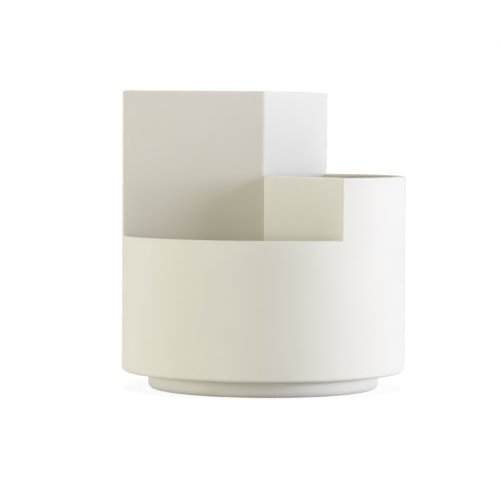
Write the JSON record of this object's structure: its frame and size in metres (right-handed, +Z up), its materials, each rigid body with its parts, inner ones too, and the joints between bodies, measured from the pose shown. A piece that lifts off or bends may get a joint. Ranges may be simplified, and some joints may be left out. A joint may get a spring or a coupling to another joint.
{
  "type": "tool storage caddy",
  "caption": "Round spinning desk caddy for hobby tools: a one-piece drum of stepped open compartments on a ball-bearing base.",
  "frame": {"origin": "on the table, at the turning axis, in the middle of the base's underside", "axes": "+Z up along the turning axis, -Y towards the front that shows the low compartment, +X to the right of that front"},
  "size_m": [0.13, 0.13, 0.136],
  "materials": {
    "drum_plastic": "fine matt moulded texture, off-white",
    "base_plastic": "fine matt moulded texture, off-white",
    "cage_plastic": "natural acetal, slightly waxy",
    "ball_steel": "polished bearing steel",
    "washer_steel": "zinc plated, stamped",
    "screw_steel": "zinc plated, cold headed"
  },
  "bodies": {
    "base": {"base_plate": "base_plastic"},
    "drum": {"caddy_drum": "drum_plastic", "pivot_washer": "washer_steel", "pivot_screw": "screw_steel"},
    "cage": {"ball_cage": "cage_plastic"},
    "ball_01": {"ball_01": "ball_steel"},
    "ball_02": {"ball_02": "ball_steel"},
    "ball_03": {"ball_03": "ball_steel"},
    "ball_04": {"ball_04": "ball_steel"},
    "ball_05": {"ball_05": "ball_steel"},
    "ball_06": {"ball_06": "ball_steel"},
    "ball_07": {"ball_07": "ball_steel"},
    "ball_08": {"ball_08": "ball_steel"},
    "ball_09": {"ball_09": "ball_steel"},
    "ball_10": {"ball_10": "ball_steel"},
    "ball_11": {"ball_11": "ball_steel"},
    "ball_12": {"ball_12": "ball_steel"},
    "ball_13": {"ball_13": "ball_steel"},
    "ball_14": {"ball_14": "ball_steel"},
    "ball_15": {"ball_15": "ball_steel"},
    "ball_16": {"ball_16": "ball_steel"}
  },
  "joints": [
    {"name": "drum_spin", "type": "hinge", "parent": "base", "child": "drum", "pos_m": [0, 0, 0], "axis": [0, 0, 1], "continuous": true},
    {"name": "cage_orbit", "type": "hinge", "parent": "base", "child": "cage", "pos_m": [0, 0, 0.005], "axis": [0, 0, 1], "continuous": true},
    {"name": "ball_01_roll", "type": "hinge", "parent": "cage", "child": "ball_01", "pos_m": [0.04, 0, 0.005], "axis": [1, 0, 0], "continuous": true},
    {"name": "ball_02_roll", "type": "hinge", "parent": "cage", "child": "ball_02", "pos_m": [0.03696, 0.01531, 0.005], "axis": [0.9239, 0.3827, 0], "continuous": true},
    {"name": "ball_03_roll", "type": "hinge", "parent": "cage", "child": "ball_03", "pos_m": [0.02828, 0.02828, 0.005], "axis": [0.7071, 0.7071, 0], "continuous": true},
    {"name": "ball_04_roll", "type": "hinge", "parent": "cage", "child": "ball_04", "pos_m": [0.01531, 0.03696, 0.005], "axis": [0.3827, 0.9239, 0], "continuous": true},
    {"name": "ball_05_roll", "type": "hinge", "parent": "cage", "child": "ball_05", "pos_m": [0, 0.04, 0.005], "axis": [0, 1, 0], "continuous": true},
    {"name": "ball_06_roll", "type": "hinge", "parent": "cage", "child": "ball_06", "pos_m": [-0.01531, 0.03696, 0.005], "axis": [-0.3827, 0.9239, 0], "continuous": true},
    {"name": "ball_07_roll", "type": "hinge", "parent": "cage", "child": "ball_07", "pos_m": [-0.02828, 0.02828, 0.005], "axis": [-0.7071, 0.7071, 0], "continuous": true},
    {"name": "ball_08_roll", "type": "hinge", "parent": "cage", "child": "ball_08", "pos_m": [-0.03696, 0.01531, 0.005], "axis": [-0.9239, 0.3827, 0], "continuous": true},
    {"name": "ball_09_roll", "type": "hinge", "parent": "cage", "child": "ball_09", "pos_m": [-0.04, 0, 0.005], "axis": [-1, 0, 0], "continuous": true},
    {"name": "ball_10_roll", "type": "hinge", "parent": "cage", "child": "ball_10", "pos_m": [-0.03696, -0.01531, 0.005], "axis": [-0.9239, -0.3827, 0], "continuous": true},
    {"name": "ball_11_roll", "type": "hinge", "parent": "cage", "child": "ball_11", "pos_m": [-0.02828, -0.02828, 0.005], "axis": [-0.7071, -0.7071, 0], "continuous": true},
    {"name": "ball_12_roll", "type": "hinge", "parent": "cage", "child": "ball_12", "pos_m": [-0.01531, -0.03696, 0.005], "axis": [-0.3827, -0.9239, 0], "continuous": true},
    {"name": "ball_13_roll", "type": "hinge", "parent": "cage", "child": "ball_13", "pos_m": [0, -0.04, 0.005], "axis": [0, -1, 0], "continuous": true},
    {"name": "ball_14_roll", "type": "hinge", "parent": "cage", "child": "ball_14", "pos_m": [0.01531, -0.03696, 0.005], "axis": [0.3827, -0.9239, 0], "continuous": true},
    {"name": "ball_15_roll", "type": "hinge", "parent": "cage", "child": "ball_15", "pos_m": [0.02828, -0.02828, 0.005], "axis": [0.7071, -0.7071, 0], "continuous": true},
    {"name": "ball_16_roll", "type": "hinge", "parent": "cage", "child": "ball_16", "pos_m": [0.03696, -0.01531, 0.005], "axis": [0.9239, -0.3827, 0], "continuous": true}
  ],
  "couplings": [
    {"joint": "cage_orbit", "follows": "drum_spin", "ratio": 0.5},
    {"joint": "ball_01_roll", "follows": "drum_spin", "ratio": -10},
    {"joint": "ball_02_roll", "follows": "drum_spin", "ratio": -10},
    {"joint": "ball_03_roll", "follows": "drum_spin", "ratio": -10},
    {"joint": "ball_04_roll", "follows": "drum_spin", "ratio": -10},
    {"joint": "ball_05_roll", "follows": "drum_spin", "ratio": -10},
    {"joint": "ball_06_roll", "follows": "drum_spin", "ratio": -10},
    {"joint": "ball_07_roll", "follows": "drum_spin", "ratio": -10},
    {"joint": "ball_08_roll", "follows": "drum_spin", "ratio": -10},
    {"joint": "ball_09_roll", "follows": "drum_spin", "ratio": -10},
    {"joint": "ball_10_roll", "follows": "drum_spin", "ratio": -10},
    {"joint": "ball_11_roll", "follows": "drum_spin", "ratio": -10},
    {"joint": "ball_12_roll", "follows": "drum_spin", "ratio": -10},
    {"joint": "ball_13_roll", "follows": "drum_spin", "ratio": -10},
    {"joint": "ball_14_roll", "follows": "drum_spin", "ratio": -10},
    {"joint": "ball_15_roll", "follows": "drum_spin", "ratio": -10},
    {"joint": "ball_16_roll", "follows": "drum_spin", "ratio": -10}
  ]
}
